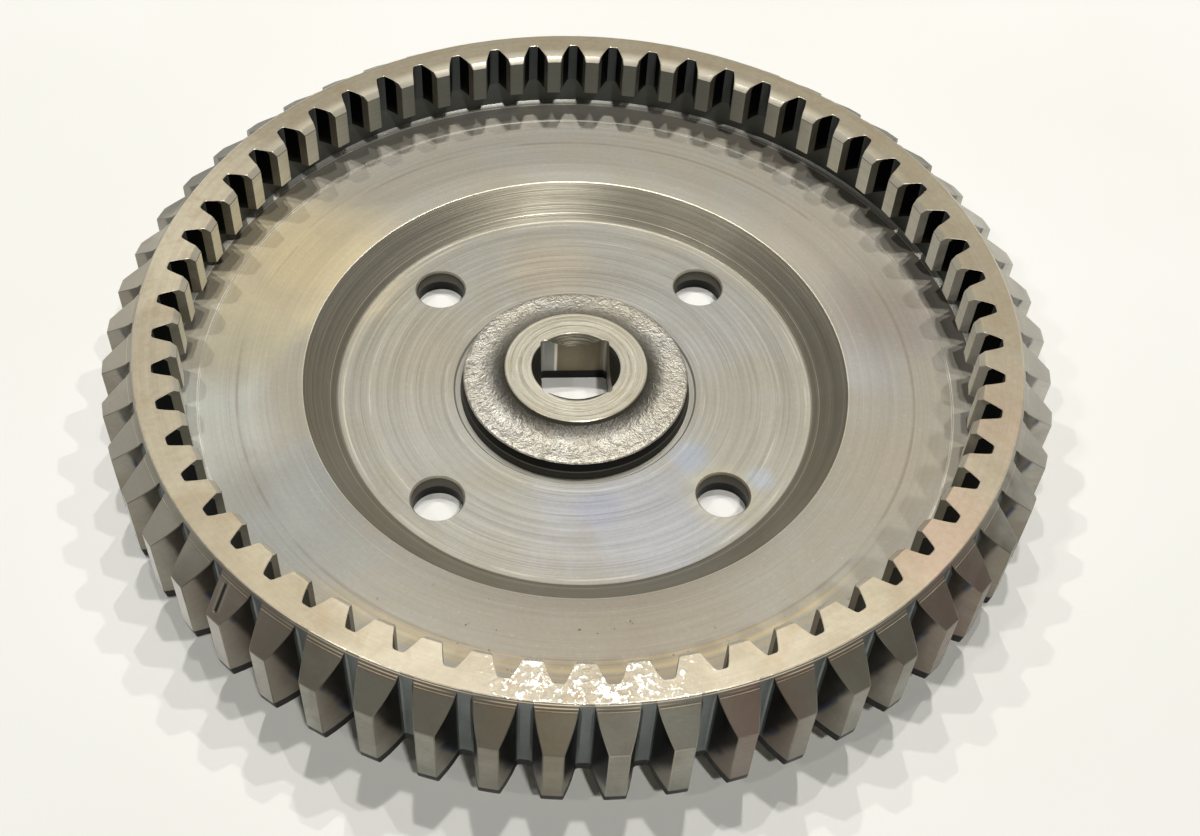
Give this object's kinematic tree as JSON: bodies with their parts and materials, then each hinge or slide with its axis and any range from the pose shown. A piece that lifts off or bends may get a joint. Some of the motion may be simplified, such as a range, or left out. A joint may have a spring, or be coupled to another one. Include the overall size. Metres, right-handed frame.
{
  "type": "double-toothed gear wheel",
  "caption": "Flat steel gear wheel with straight teeth outside and inside its rim, a dished web, bolt holes and a square bore in a raised hub.",
  "frame": {"origin": "on the wheel's axis, in the plane of the disc's underside that it lies on", "axes": "+Z along the wheel's axis, out of the hub side; X and Y square to the flats of the bore"},
  "size_m": [0.1672, 0.1672, 0.0255],
  "materials": {
    "turned_steel": "turned and hobbed steel with an as-forged hub flange"
  },
  "bodies": {
    "root": {"gear_wheel": "turned_steel"}
  },
  "joints": []
}
